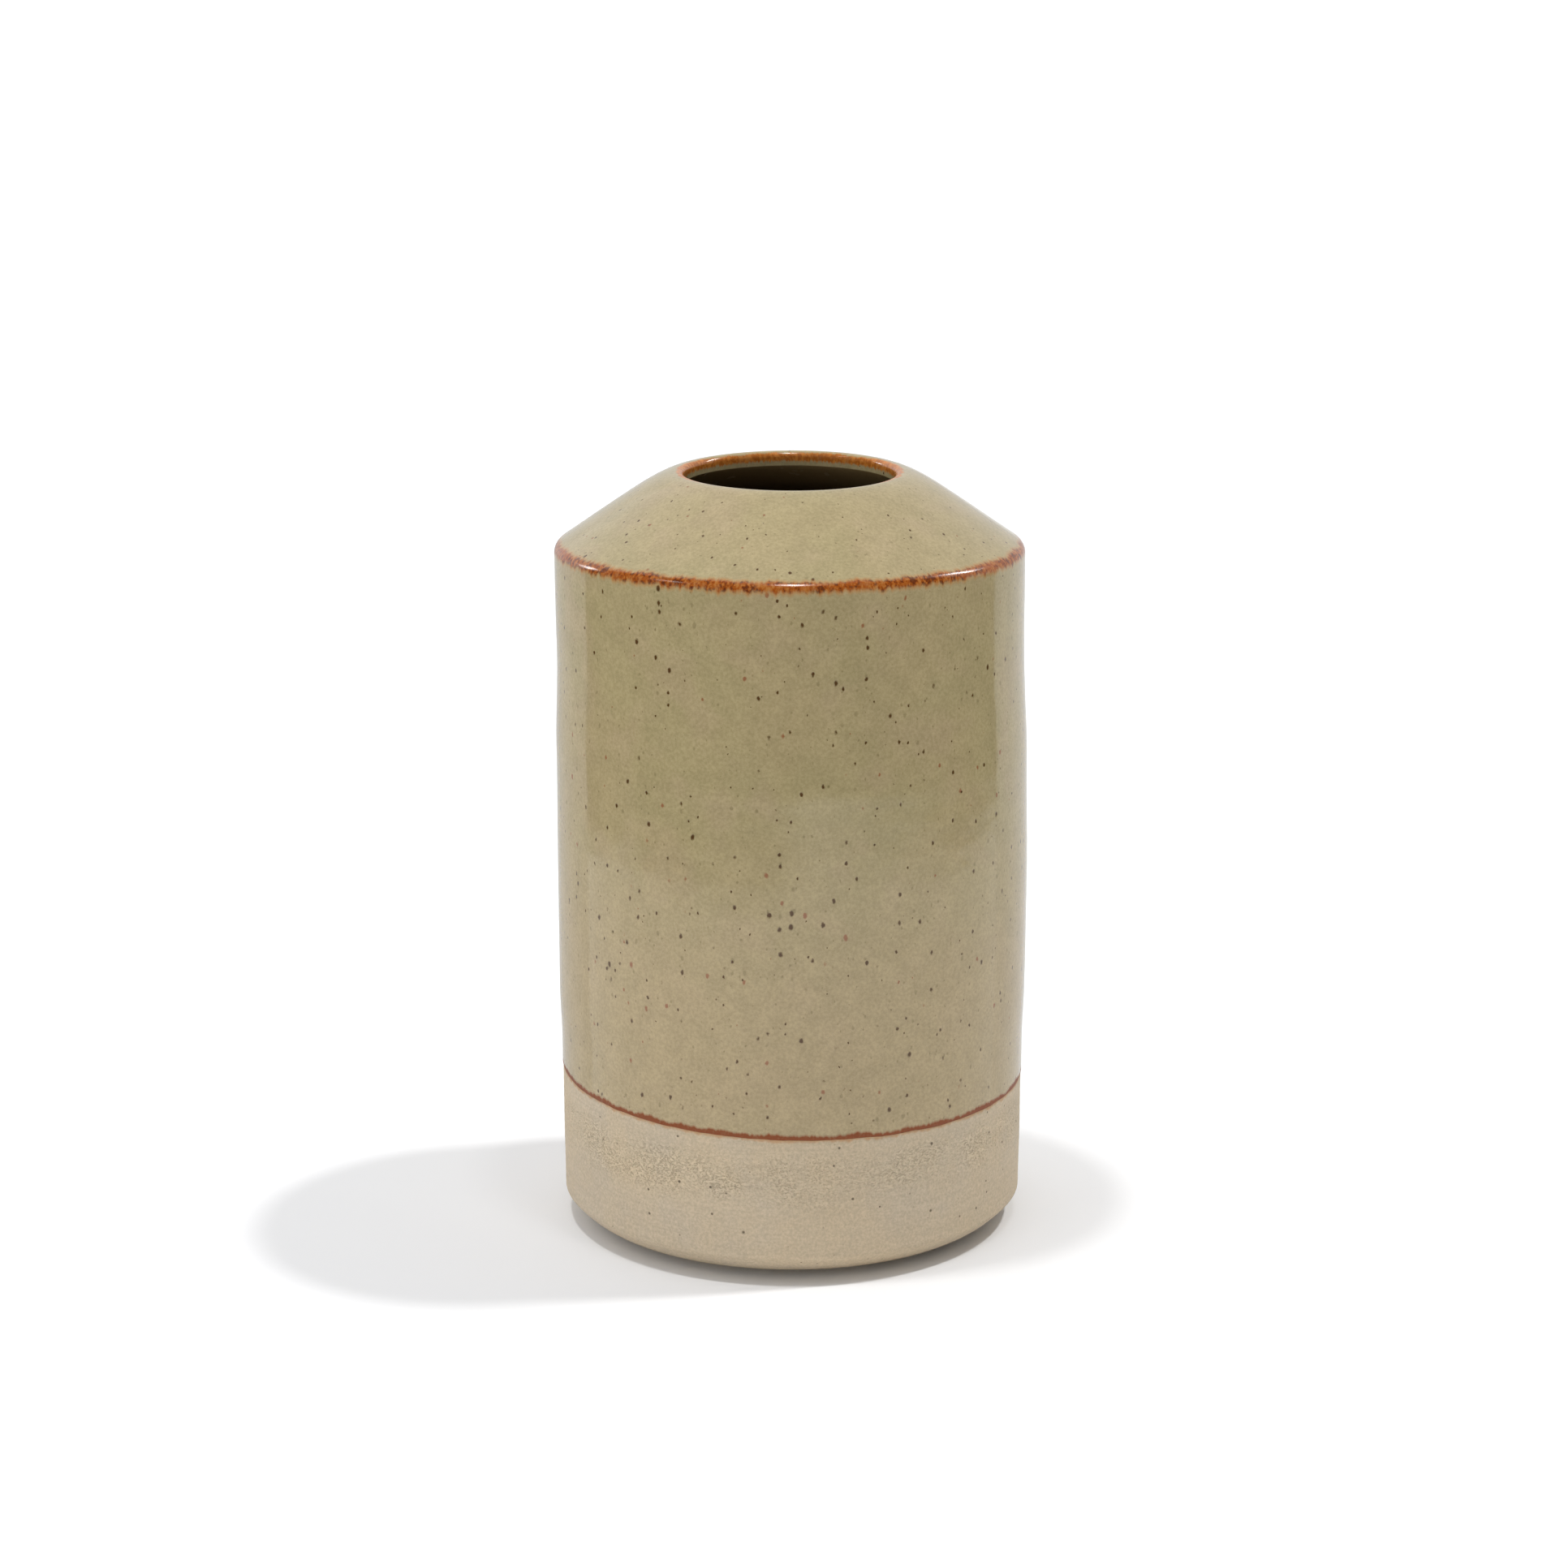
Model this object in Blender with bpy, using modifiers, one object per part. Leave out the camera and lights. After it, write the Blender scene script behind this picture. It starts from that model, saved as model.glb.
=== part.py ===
"""Stoneware bud vase: a straight thrown body with a conical shoulder and a wide, low mouth.

The pot is one piece of fired clay under two coats of glaze, so the model has three solids:
the clay body, the outer coat that the pot was dipped in down to a slightly tilted line, and
the liner poured inside.  The clay below the line is bare, and its bottom edge is trimmed to
a chamfer.  Metres, +Z up, with the origin at the centre of the foot.
"""
import math

import bmesh
import bpy

# Outside, over the glaze (metres)
HEIGHT = 0.1505
MOUTH_RADIUS = 0.0205           # clear opening inside the lip
LIP_RADIUS = 0.0011             # rounding of the lip, from its inner face to its crest
LIP_BLEND_RADIUS = 0.0305       # where the cone takes over from the flatter ground at the lip
SHOULDER_RADIUS = 0.04565       # where the cone and the wall would meet in a sharp corner
SHOULDER_HEIGHT = 0.13595
SHOULDER_SLOPE = math.radians(34.5)
SHOULDER_FILLET = 0.0028

# The wall's radius at a few heights: slack under the shoulder, fullest in the lower middle,
# and drawn in towards the foot
WALL_STATIONS = (
    (0.1335, 0.04565),
    (0.1150, 0.04557),
    (0.0950, 0.04615),
    (0.0700, 0.04640),
    (0.0480, 0.04638),
    (0.0360, 0.04605),
    (0.0200, 0.04600),
    (0.0056, 0.04580),
)

# Foot
CHAMFER_HEIGHT = WALL_STATIONS[-1][0]
CHAMFER_BULGE = (0.0428, 0.0022)    # radius and height of the chamfer curve's middle point
FOOT_RADIUS = 0.0386
RECESS_RADIUS = 0.0310          # shallow hollow turned into the underside
RECESS_DEPTH = 0.0009
RECESS_EDGE = 0.0016            # width of the slope around the hollow

# Inside, over the liner
WALL_THICKNESS = 0.0040
FLOOR_THICKNESS = 0.0055
FLOOR_CORNER = 0.0085           # rounding between the floor and the wall
CEILING_CORNER = 0.0045         # rounding between the wall and the underside of the shoulder
CEILING_DROP = 0.0160           # from the lip's crest down to the corner that this rounds
LIP_DEPTH = 0.0029              # from the lip's crest down its upright inner face

# Glaze
COAT = 0.0004                   # thickness of the outer coat and of the liner
COAT_TURN = 0.0024              # how far the outer coat runs down the lip's inner face
FIT_GAP = 0.0003                # clearance between a coat and the clay or coat it meets
SET_BACK = COAT + FIT_GAP       # how far the clay stands back where it is glazed
GLAZE_LINE_HEIGHT = 0.0305      # on the axis
GLAZE_LINE_FALL_X = 0.0216      # the line drops this much for each metre towards +X
GLAZE_LINE_RISE_Y = 0.0150      # and rises this much for each metre towards +Y
LINE_REACH = 0.0025             # more than the tilted line strays from its height on the axis

# Working sizes
SEGMENTS = 56
REBATE_STEP = 0.00003           # the trimmed clay just under the coat stands this much proud
CUTTER_MARGIN = 0.002           # how far a cutter runs past what it cuts
BLOCK_SIZE = 0.16
SHARP_ANGLE = math.radians(30)


def arc(centre, radius, start, end, steps):
    """Points on a circle arc, with its angles in radians from the outward direction."""
    points = []
    for i in range(steps + 1):
        angle = start + (end - start) * i / steps
        points.append((centre[0] + radius * math.cos(angle), centre[1] + radius * math.sin(angle)))
    return points


def bend(start, middle, end, steps):
    """Points on a quadratic curve that leaves start towards middle and arrives at end."""
    points = []
    for i in range(steps + 1):
        t = i / steps
        weights = ((1 - t) ** 2, 2 * t * (1 - t), t * t)
        radius = sum(w * p[0] for w, p in zip(weights, (start, middle, end)))
        height = sum(w * p[1] for w, p in zip(weights, (start, middle, end)))
        points.append((radius, height))
    return points


def wall_radius(height):
    """Outer radius of the wall, eased from each station to the next."""
    if height >= WALL_STATIONS[0][0]:
        return WALL_STATIONS[0][1]
    for (top, above), (bottom, below) in zip(WALL_STATIONS, WALL_STATIONS[1:]):
        if height >= bottom:
            t = (top - height) / (top - bottom)
            return above + (below - above) * t * t * (3 - 2 * t)
    return WALL_STATIONS[-1][1]


def wall(top, bottom, steps):
    """Points down the outside of the wall."""
    heights = [top + (bottom - top) * i / steps for i in range(steps + 1)]
    return [(wall_radius(height), height) for height in heights]


def skin_outline(bottom, steps):
    """The glazed outside, from inside the lip over its crest and down the wall to a height."""
    crest = (MOUTH_RADIUS + LIP_RADIUS, HEIGHT)
    rise = math.tan(SHOULDER_SLOPE)
    cone_peak = (SHOULDER_RADIUS - (HEIGHT - SHOULDER_HEIGHT) / rise, HEIGHT)
    cone_start = SHOULDER_HEIGHT + (SHOULDER_RADIUS - LIP_BLEND_RADIUS) * rise
    turn = math.pi / 2 - SHOULDER_SLOPE
    edge = (SHOULDER_RADIUS - SHOULDER_FILLET,
            SHOULDER_HEIGHT - SHOULDER_FILLET * math.tan(turn / 2))
    points = [(MOUTH_RADIUS, HEIGHT - COAT_TURN)]
    points += arc((crest[0], HEIGHT - LIP_RADIUS), LIP_RADIUS, math.pi, math.pi / 2, 3)
    points += bend(crest, cone_peak, (LIP_BLEND_RADIUS, cone_start), 5)[1:]
    points += arc(edge, SHOULDER_FILLET, turn, 0, 4)
    points += wall(edge[1], bottom, steps)[1:]
    return points


def inset(outline, depth):
    """An outline moved into the pot by a depth, square to itself at each point."""
    moved = []
    last = len(outline) - 1
    for i, (radius, height) in enumerate(outline):
        before = outline[max(i - 1, 0)]
        after = outline[min(i + 1, last)]
        out, up = after[0] - before[0], after[1] - before[1]
        length = math.hypot(out, up)
        moved.append((radius + depth * up / length, height - depth * out / length))
    return moved


def cavity_outline(depth):
    """The inside, from the middle of the floor up to the lip, moved into the clay by a depth."""
    radius = SHOULDER_RADIUS - WALL_THICKNESS
    corner_height = HEIGHT - CEILING_DROP
    lip_height = HEIGHT - LIP_DEPTH
    slope = math.atan2(lip_height - corner_height, radius - MOUTH_RADIUS)
    turn = math.pi / 2 - slope
    ceiling = (radius - CEILING_CORNER, corner_height - CEILING_CORNER * math.tan(turn / 2))
    floor = (radius - FLOOR_CORNER, FLOOR_THICKNESS + FLOOR_CORNER)
    points = [(0.0, FLOOR_THICKNESS - depth)]
    points += arc(floor, FLOOR_CORNER + depth, -math.pi / 2, 0, 5)
    points += arc(ceiling, CEILING_CORNER + depth, 0, turn, 4)
    points.append((MOUTH_RADIUS + depth, lip_height + depth * (1 - math.sin(slope)) / math.cos(slope)))
    return points


def foot_outline():
    """Down the chamfer and in across the underside to its middle."""
    wall_end = (wall_radius(CHAMFER_HEIGHT), CHAMFER_HEIGHT)
    points = bend(wall_end, CHAMFER_BULGE, (FOOT_RADIUS, 0.0), 4)
    points.append((RECESS_RADIUS + RECESS_EDGE, 0.0))
    points.append((RECESS_RADIUS, RECESS_DEPTH))
    points.append((0.0, RECESS_DEPTH))
    return points


def ceramic(name, colour, roughness):
    """A plain ceramic surface."""
    made = bpy.data.materials.new(name)
    made.use_nodes = True
    shader = made.node_tree.nodes["Principled BSDF"]
    shader.inputs["Base Color"].default_value = (*colour, 1.0)
    shader.inputs["Roughness"].default_value = roughness
    shader.inputs["Metallic"].default_value = 0.0
    return made


def new_collection(name):
    """A collection in the scene."""
    made = bpy.data.collections.new(name)
    bpy.context.scene.collection.children.link(made)
    return made


def turned(name, outline, ring, home):
    """Turn an outline about the axis; a ring's outline closes on itself."""
    edges = [(i, i + 1) for i in range(len(outline) - 1)]
    if ring:
        edges.append((len(outline) - 1, 0))
    mesh = bpy.data.meshes.new(name)
    mesh.from_pydata([(radius, 0.0, height) for radius, height in outline], edges, [])
    made = bpy.data.objects.new(name, mesh)
    home.objects.link(made)
    screw = made.modifiers.new("turning", "SCREW")
    screw.axis = "Z"
    screw.angle = math.tau
    screw.steps = SEGMENTS
    screw.render_steps = SEGMENTS
    screw.use_merge_vertices = True
    screw.merge_threshold = 0.00001
    return made


def dip_block(name, rise, home):
    """A block over the tilted plane of the glaze line, with that plane raised a little."""
    shape = bmesh.new()
    bmesh.ops.create_cube(shape, size=BLOCK_SIZE)
    bmesh.ops.translate(shape, vec=(0.0, 0.0, BLOCK_SIZE / 2), verts=shape.verts)
    mesh = bpy.data.meshes.new(name)
    shape.to_mesh(mesh)
    shape.free()
    made = bpy.data.objects.new(name, mesh)
    made.location = (0.0, 0.0, GLAZE_LINE_HEIGHT + rise)
    made.rotation_euler = (math.atan(GLAZE_LINE_RISE_Y), math.atan(GLAZE_LINE_FALL_X), 0.0)
    home.objects.link(made)
    as_cutter(made)
    return made


def as_cutter(guide):
    """Mark a shape that only cuts others."""
    guide.hide_render = True
    guide.display_type = "WIRE"


def combine(target, tool, operation):
    """Cut the target with the tool, or keep only what the tool holds."""
    step = target.modifiers.new(tool.name, "BOOLEAN")
    step.operation = operation
    step.solver = "EXACT"
    step.object = tool


def finish(made, surface):
    """Keep the evaluated shape as the object's mesh, smooth but for its real edges."""
    shape = made.evaluated_get(bpy.context.evaluated_depsgraph_get())
    mesh = bpy.data.meshes.new_from_object(shape)
    made.modifiers.clear()
    made.data = mesh
    mesh.shade_smooth()
    mesh.set_sharp_from_angle(angle=SHARP_ANGLE)
    mesh.materials.clear()
    mesh.materials.append(surface)


def make_body(vase, cutters):
    """The clay: set back under both coats, and at its full width below the glaze line."""
    step_height = GLAZE_LINE_HEIGHT + LINE_REACH
    outline = cavity_outline(SET_BACK)
    outline += inset(skin_outline(step_height, 7), SET_BACK)
    outline += wall(step_height, CHAMFER_HEIGHT, 4)
    outline += foot_outline()[1:]
    body = turned("stoneware_body", outline, False, vase)

    top = step_height + CUTTER_MARGIN
    bottom = GLAZE_LINE_HEIGHT - LINE_REACH - CUTTER_MARGIN
    inner = wall_radius(top) - SET_BACK + REBATE_STEP
    outer = wall_radius(top) + CUTTER_MARGIN
    ring = [(outer, top), (outer, bottom), (inner, bottom), (inner, top)]
    rebate = turned("coat_rebate", ring, True, cutters)
    combine(rebate, dip_block("clay_limit", -FIT_GAP / 2, cutters), "INTERSECT")
    as_cutter(rebate)
    combine(body, rebate, "DIFFERENCE")
    return body


def make_outer_glaze(vase, cutters):
    """The outer coat, from over the lip down to the tilted line."""
    skin = skin_outline(GLAZE_LINE_HEIGHT - LINE_REACH, 8)
    glaze = turned("outer_glaze", skin + inset(skin, COAT)[::-1], True, vase)
    combine(glaze, dip_block("coat_limit", FIT_GAP / 2, cutters), "INTERSECT")
    return glaze


def make_inner_glaze(vase):
    """The liner, from the middle of the floor up to the outer coat's edge inside the lip."""
    return turned("inner_glaze", cavity_outline(0.0) + cavity_outline(COAT)[::-1], False, vase)


def build():
    """Clear the scene and make the vase."""
    for old in list(bpy.data.objects):
        bpy.data.objects.remove(old)
    vase = new_collection("bud_vase")
    cutters = new_collection("cutters")
    body = make_body(vase, cutters)
    outer_glaze = make_outer_glaze(vase, cutters)
    inner_glaze = make_inner_glaze(vase)
    finish(body, ceramic("bare_stoneware", (0.455, 0.366, 0.244), 0.78))
    finish(outer_glaze, ceramic("sage_glaze", (0.376, 0.305, 0.178), 0.16))
    finish(inner_glaze, ceramic("liner_glaze", (0.110, 0.086, 0.050), 0.20))


build()
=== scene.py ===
"""Looks for the stoneware bud vase: its hand-thrown surfaces, clay, glaze and studio."""
import math

import bpy
import numpy as np
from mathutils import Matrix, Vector, noise


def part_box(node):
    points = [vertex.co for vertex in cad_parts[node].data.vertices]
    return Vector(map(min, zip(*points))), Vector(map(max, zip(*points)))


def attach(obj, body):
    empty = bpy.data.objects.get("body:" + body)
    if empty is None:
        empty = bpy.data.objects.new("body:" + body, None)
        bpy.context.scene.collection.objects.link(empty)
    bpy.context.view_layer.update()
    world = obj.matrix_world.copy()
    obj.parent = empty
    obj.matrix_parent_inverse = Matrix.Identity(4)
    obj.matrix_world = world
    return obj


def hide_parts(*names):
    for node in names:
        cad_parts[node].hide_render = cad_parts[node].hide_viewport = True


MM = 0.001

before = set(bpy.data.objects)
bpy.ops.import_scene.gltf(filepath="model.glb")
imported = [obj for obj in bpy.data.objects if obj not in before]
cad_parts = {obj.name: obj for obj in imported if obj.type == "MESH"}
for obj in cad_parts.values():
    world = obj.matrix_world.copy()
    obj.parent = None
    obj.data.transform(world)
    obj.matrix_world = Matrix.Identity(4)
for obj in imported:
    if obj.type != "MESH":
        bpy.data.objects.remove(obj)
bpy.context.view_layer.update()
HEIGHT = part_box("outer_glaze")[1].z

# The pot's outline, close to the CAD model's
MOUTH_RADIUS = 20.5 * MM
LIP_RADIUS = 1.1 * MM
LIP_DEPTH = 2.9 * MM
COAT_TURN = 2.75 * MM
LIP_BLEND_RADIUS = 30.5 * MM
SHOULDER_RADIUS = 45.65 * MM
SHOULDER_HEIGHT = 135.95 * MM
SHOULDER_SLOPE = math.radians(34.5)
SHOULDER_FILLET = 2.4 * MM
WALL_STATIONS = np.array((
    (133.5, 45.65),
    (115.0, 45.57),
    (95.0, 46.15),
    (70.0, 46.40),
    (48.0, 46.38),
    (36.0, 46.05),
    (20.0, 46.00),
    (5.6, 45.80),
)) * MM
CHAMFER_HEIGHT = WALL_STATIONS[-1, 0]
CHAMFER_BULGE = (42.8 * MM, 2.2 * MM)
FOOT_RADIUS = 38.6 * MM
RECESS_RADIUS = 31.0 * MM
RECESS_DEPTH = 0.9 * MM
RECESS_EDGE = 1.6 * MM
WALL_THICKNESS = 4.0 * MM
FLOOR_THICKNESS = 5.5 * MM
FLOOR_CORNER = 8.5 * MM
CEILING_CORNER = 4.5 * MM
CEILING_DROP = 16.0 * MM
HEEL = (FOOT_RADIUS + 1.9 * MM, 1.50 * MM)           # where the chamfer meets the undercut
UNDERCUT_BEND = (FOOT_RADIUS - 2.0 * MM, 1.45 * MM)
FOOT_EDGE = (FOOT_RADIUS - 2.2 * MM, 0.0)            # outer edge of the ring it stands on
LINE_HEIGHT = 30.5 * MM          # the glaze line on the axis
LINE_FALL_X = 0.0216
LINE_RISE_Y = 0.0150

# How the pot strays from its true outline; angles run from the front towards the right
LEAN = 0.42 * MM                 # the top leans this far to the left
LEAN_SPAN = (82 * MM, 140 * MM)
BELLY = 0.10 * MM                # the wall is pushed this far to the right
BELLY_HEIGHT = 68 * MM
BELLY_SPREAD = 16 * MM
ROUNDEST_SPAN = (2 * MM, 30 * MM)  # below this the pot is still truly round
OVAL = 0.07 * MM
LOBES = 0.04 * MM
FINE_RIPPLE = 0.003 * MM
FINE_RIPPLE_PITCH = 0.95 * MM
RIPPLE = 0.010 * MM
RIPPLE_PITCH = 3.1 * MM
RIM_SPAN = 8 * MM
RIM_WAVE = 0.05 * MM
RIM_DIP = 0.30 * MM              # the rim lies this much lower at the front
SHOULDER_LIFT = 0.62 * MM        # the shoulder edge lies this much higher at the front
SHOULDER_LIFT_SPREAD = 7 * MM
LINE_WAVES = ((9, 0.16 * MM), (40, 0.07 * MM))       # fineness and height

# How the bare clay was tooled
TURNING_DEPTH = 0.010 * MM
TURNING_PITCH = 0.28 * MM
BELT_HEIGHT = 22.5 * MM          # middle of the torn belt
BELT_SPREAD = 4.2 * MM
TEAR_DEPTH = 0.04 * MM
RECESS_RING_DEPTH = 0.05 * MM
RECESS_RING_PITCH = 0.55 * MM

# How the coats lie on the clay
COAT = 0.40 * MM
CLAY_STEP = 0.10 * MM            # the glaze stands this much proud of the bare clay
SET_BACK = 0.70 * MM             # the clay under a coat lies this far below the glaze
BEAD = 0.30 * MM                 # height of the rolled edge where the glaze stopped
HAIRLINE = 0.03 * MM

# Meshes
GLAZE_COLUMNS = 360
CLAY_COLUMNS = 540
LINER_COLUMNS = 180


# ---------------------------------------------------------------- outlines

def arc(centre, radius, start, end, steps):
    """Points on a circle arc, angles in radians from the outward direction."""
    angles = np.linspace(start, end, steps + 1)
    return np.stack([centre[0] + radius * np.cos(angles), centre[1] + radius * np.sin(angles)], 1)


def bend(start, middle, end, steps):
    """Points on a quadratic curve."""
    t = np.linspace(0, 1, steps + 1)[:, None]
    start, middle, end = (np.array(p, float) for p in (start, middle, end))
    return (1 - t) ** 2 * start + 2 * t * (1 - t) * middle + t * t * end


def straight(start, end, steps):
    """Evenly spaced points on a line."""
    return np.linspace(start, end, steps + 1)


def chain(*runs):
    """Runs of points joined end to end, without repeats where they meet."""
    points = [np.atleast_2d(runs[0])]
    for run in runs[1:]:
        run = np.atleast_2d(run)
        if np.hypot(*(run[0] - points[-1][-1])) < 0.001 * MM:
            run = run[1:]
        points.append(run)
    return np.concatenate(points)


def wall_radius(height):
    """Outer radius of the wall at a height, or at an array of heights."""
    heights, radii = WALL_STATIONS[::-1, 0], WALL_STATIONS[::-1, 1]
    at = np.clip(height, heights[0], heights[-1])
    i = np.clip(np.searchsorted(heights, at, side="right") - 1, 0, len(heights) - 2)
    t = (at - heights[i]) / (heights[i + 1] - heights[i])
    return radii[i] + (radii[i + 1] - radii[i]) * t * t * (3 - 2 * t)


def shoulder_edge():
    """The centre of the rounding where the cone meets the wall, and the angle it turns."""
    turn = math.pi / 2 - SHOULDER_SLOPE
    return (SHOULDER_RADIUS - SHOULDER_FILLET,
            SHOULDER_HEIGHT - SHOULDER_FILLET * math.tan(turn / 2)), turn


def top_outline():
    """The glazed outside from inside the lip to the lower end of the shoulder's rounding."""
    rise = math.tan(SHOULDER_SLOPE)
    crest = (MOUTH_RADIUS + LIP_RADIUS, HEIGHT)
    peak = (SHOULDER_RADIUS - (HEIGHT - SHOULDER_HEIGHT) / rise, HEIGHT)
    cone_top = (LIP_BLEND_RADIUS, SHOULDER_HEIGHT + (SHOULDER_RADIUS - LIP_BLEND_RADIUS) * rise)
    edge, turn = shoulder_edge()
    rounding = arc(edge, SHOULDER_FILLET, turn, 0, 12)
    return chain(
        straight((MOUTH_RADIUS, HEIGHT - COAT_TURN), (MOUTH_RADIUS, HEIGHT - LIP_RADIUS), 5),
        arc((crest[0], HEIGHT - LIP_RADIUS), LIP_RADIUS, math.pi, math.pi / 2, 8),
        bend(crest, peak, cone_top, 14),
        straight(cone_top, rounding[0], 18),
        rounding,
    )


def cavity_outline(depth):
    """The inside from the middle of the floor up to the lip, moved into the clay by a depth."""
    radius = SHOULDER_RADIUS - WALL_THICKNESS
    corner_height = HEIGHT - CEILING_DROP
    lip_height = HEIGHT - LIP_DEPTH
    slope = math.atan2(lip_height - corner_height, radius - MOUTH_RADIUS)
    turn = math.pi / 2 - slope
    ceiling = (radius - CEILING_CORNER, corner_height - CEILING_CORNER * math.tan(turn / 2))
    floor = (radius - FLOOR_CORNER, FLOOR_THICKNESS + FLOOR_CORNER)
    lip = (MOUTH_RADIUS + depth, lip_height + depth * (1 - math.sin(slope)) / math.cos(slope))
    return chain(
        straight((0.0, FLOOR_THICKNESS - depth), (floor[0], FLOOR_THICKNESS - depth), 16)[1:],
        arc(floor, FLOOR_CORNER + depth, -math.pi / 2, 0, 10),
        straight((radius + depth, floor[1]), (radius + depth, ceiling[1]), 40),
        arc(ceiling, CEILING_CORNER + depth, 0, turn, 8),
        straight(
            (ceiling[0] + (CEILING_CORNER + depth) * math.cos(turn),
             ceiling[1] + (CEILING_CORNER + depth) * math.sin(turn)), lip, 14),
    )


def inset(outline, depth):
    """An outline moved into the pot, square to itself at each point."""
    along = np.gradient(outline, axis=0)
    along /= np.hypot(along[:, 0], along[:, 1])[:, None]
    return outline + depth * np.stack([along[:, 1], -along[:, 0]], 1)


# ---------------------------------------------------------------- the hand of the potter

def smoothstep(low, high, value):
    t = np.clip((value - low) / (high - low), 0, 1)
    return t * t * (3 - 2 * t)


def bell(value, middle, spread):
    """A smooth hump of height 1."""
    return np.exp(-((value - middle) / spread) ** 2)


def thrown(radius, height, angle):
    """Where a point of the true outline really lies on the pot: leaning, slightly out of
    round, and rippled by the fingers as the wheel turned."""
    lean = BELLY * bell(height, BELLY_HEIGHT, BELLY_SPREAD) - LEAN * smoothstep(*LEAN_SPAN, height)
    oval = (OVAL * np.cos(2 * angle + 30 * height)
            + LOBES * np.cos(3 * angle + 1.0 + 22 * height))
    ripple = (FINE_RIPPLE * np.sin(height / FINE_RIPPLE_PITCH + angle)
              + RIPPLE * np.sin(height / RIPPLE_PITCH + angle + 1.3))
    share = np.clip(radius / SHOULDER_RADIUS, 0, 1) * smoothstep(*ROUNDEST_SPAN, height)
    swollen = radius + (oval + ripple) * share
    rim = smoothstep(HEIGHT - RIM_SPAN, HEIGHT, height)
    wave = RIM_WAVE * np.cos(2 * angle + 1) - RIM_DIP * (1 + np.cos(angle)) / 2
    edge_lift = SHOULDER_LIFT * bell(height, SHOULDER_HEIGHT, SHOULDER_LIFT_SPREAD)
    lifted = height + rim * wave + edge_lift * np.cos(angle)
    return np.stack(
        [swollen * np.sin(angle) + lean, -swollen * np.cos(angle), lifted + 0 * angle], -1)


def line_height(angle):
    """Height of the glaze line round the pot: tilted, and a little ragged."""
    x, y = SHOULDER_RADIUS * np.sin(angle), -SHOULDER_RADIUS * np.cos(angle)
    ragged = []
    for around in np.ravel(angle):
        spot = Vector((math.sin(around), math.cos(around), 0.0))
        ragged.append(sum(tall * noise.noise(spot * fine) for fine, tall in LINE_WAVES))
    return LINE_HEIGHT - LINE_FALL_X * x + LINE_RISE_Y * y + np.array(ragged)


# ---------------------------------------------------------------- meshes

def grid_mesh(name, rings, closed, centres=(None, None)):
    """A mesh from rings of points: rings[row][column]. A closed grid joins its last row to
    its first; otherwise each end is closed by a fan to a point at its centre."""
    rows, columns = rings.shape[:2]
    points = rings.reshape(-1, 3)
    index = np.arange(rows * columns).reshape(rows, columns)
    if closed:
        index = np.concatenate([index, index[:1]])
    right = np.roll(index, -1, axis=1)
    quads = np.stack([index[:-1], index[1:], right[1:], right[:-1]], -1).reshape(-1, 4)
    faces = quads.tolist()
    if not closed:
        first, last = len(points), len(points) + 1
        points = np.concatenate([points, np.array(centres)])
        for j in range(columns):
            faces.append((first, int(index[0, j]), int(right[0, j])))
            faces.append((last, int(right[-1, j]), int(index[-1, j])))
    mesh = bpy.data.meshes.new(name)
    mesh.from_pydata(points.tolist(), [], faces)
    mesh.validate()
    mesh.shade_smooth()
    mesh.set_sharp_from_angle(angle=math.radians(50))
    made = bpy.data.objects.new(name, mesh)
    bpy.context.scene.collection.objects.link(made)
    return made


def mark(piece, name, values):
    """Store one number a vertex, for the materials to read."""
    layer = piece.data.attributes.new(name, "FLOAT", "POINT")
    flat = np.zeros(len(piece.data.vertices), np.float32)
    values = np.ravel(values)
    flat[:len(values)] = values
    layer.data.foreach_set("value", flat)


def turned(outline, angles):
    """Rings of thrown points for an outline that is the same all round."""
    return thrown(outline[:, :1], outline[:, 1:], angles[None, :])


def columns_of(count):
    """Angles round the pot, from the front; they run so that faces point outwards."""
    return -math.pi + math.tau * np.arange(count) / count


def make_glaze():
    """The outer coat: a thin closed skin that ends in a rolled bead at the glaze line."""
    angles = columns_of(GLAZE_COLUMNS)
    top = top_outline()
    line = line_height(angles)
    start = top[-1, 1]
    steps = np.linspace(0, 1, 141)[1:, None]
    heights = start + (line + BEAD - start) * steps
    wall = thrown(wall_radius(heights), heights, angles[None, :])
    bead_rows = []
    turns = np.linspace(0, math.pi / 2, 6)[1:]
    depth = CLAY_STEP + HAIRLINE
    for turn in turns:
        radius = wall_radius(line) - depth * (1 - math.cos(turn))
        bead_rows.append(thrown(radius, line + BEAD * (1 - math.sin(turn)), angles))
    outer = np.concatenate([turned(top, angles), wall, np.stack(bead_rows)])
    back_top = inset(top, COAT)[::3]
    back_steps = np.linspace(0, 1, 25)[1:, None]
    back_heights = start + (line + HAIRLINE - start) * back_steps
    back_wall = thrown(wall_radius(back_heights) - COAT, back_heights, angles[None, :])
    back = np.concatenate([turned(back_top, angles), back_wall])[::-1]
    piece = grid_mesh("glaze_coat", np.concatenate([outer, back]), True)

    along = np.concatenate([[0], np.cumsum(np.hypot(*np.diff(top, axis=0).T))])
    crest = along[np.argmax(top[:, 1])]
    edge = along[-1] - SHOULDER_FILLET * shoulder_edge()[1] / 2
    below = along[-1] + (start - heights)
    bead_along = along[-1] + start - np.stack([line + BEAD * (1 - math.sin(t)) for t in turns])
    run = np.concatenate([np.repeat(along[:, None], len(angles), 1), below, bead_along])
    over_line = np.concatenate([
        np.repeat(top[:, 1:] - LINE_HEIGHT, len(angles), 1),
        heights - line,
        np.stack([0 * line + BEAD * (1 - math.sin(t)) for t in turns]),
    ])
    mark(piece, "from_lip", (run - crest) / MM)
    mark(piece, "from_edge", (edge - run) / MM)
    mark(piece, "over_line", over_line / MM)
    return piece


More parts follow.
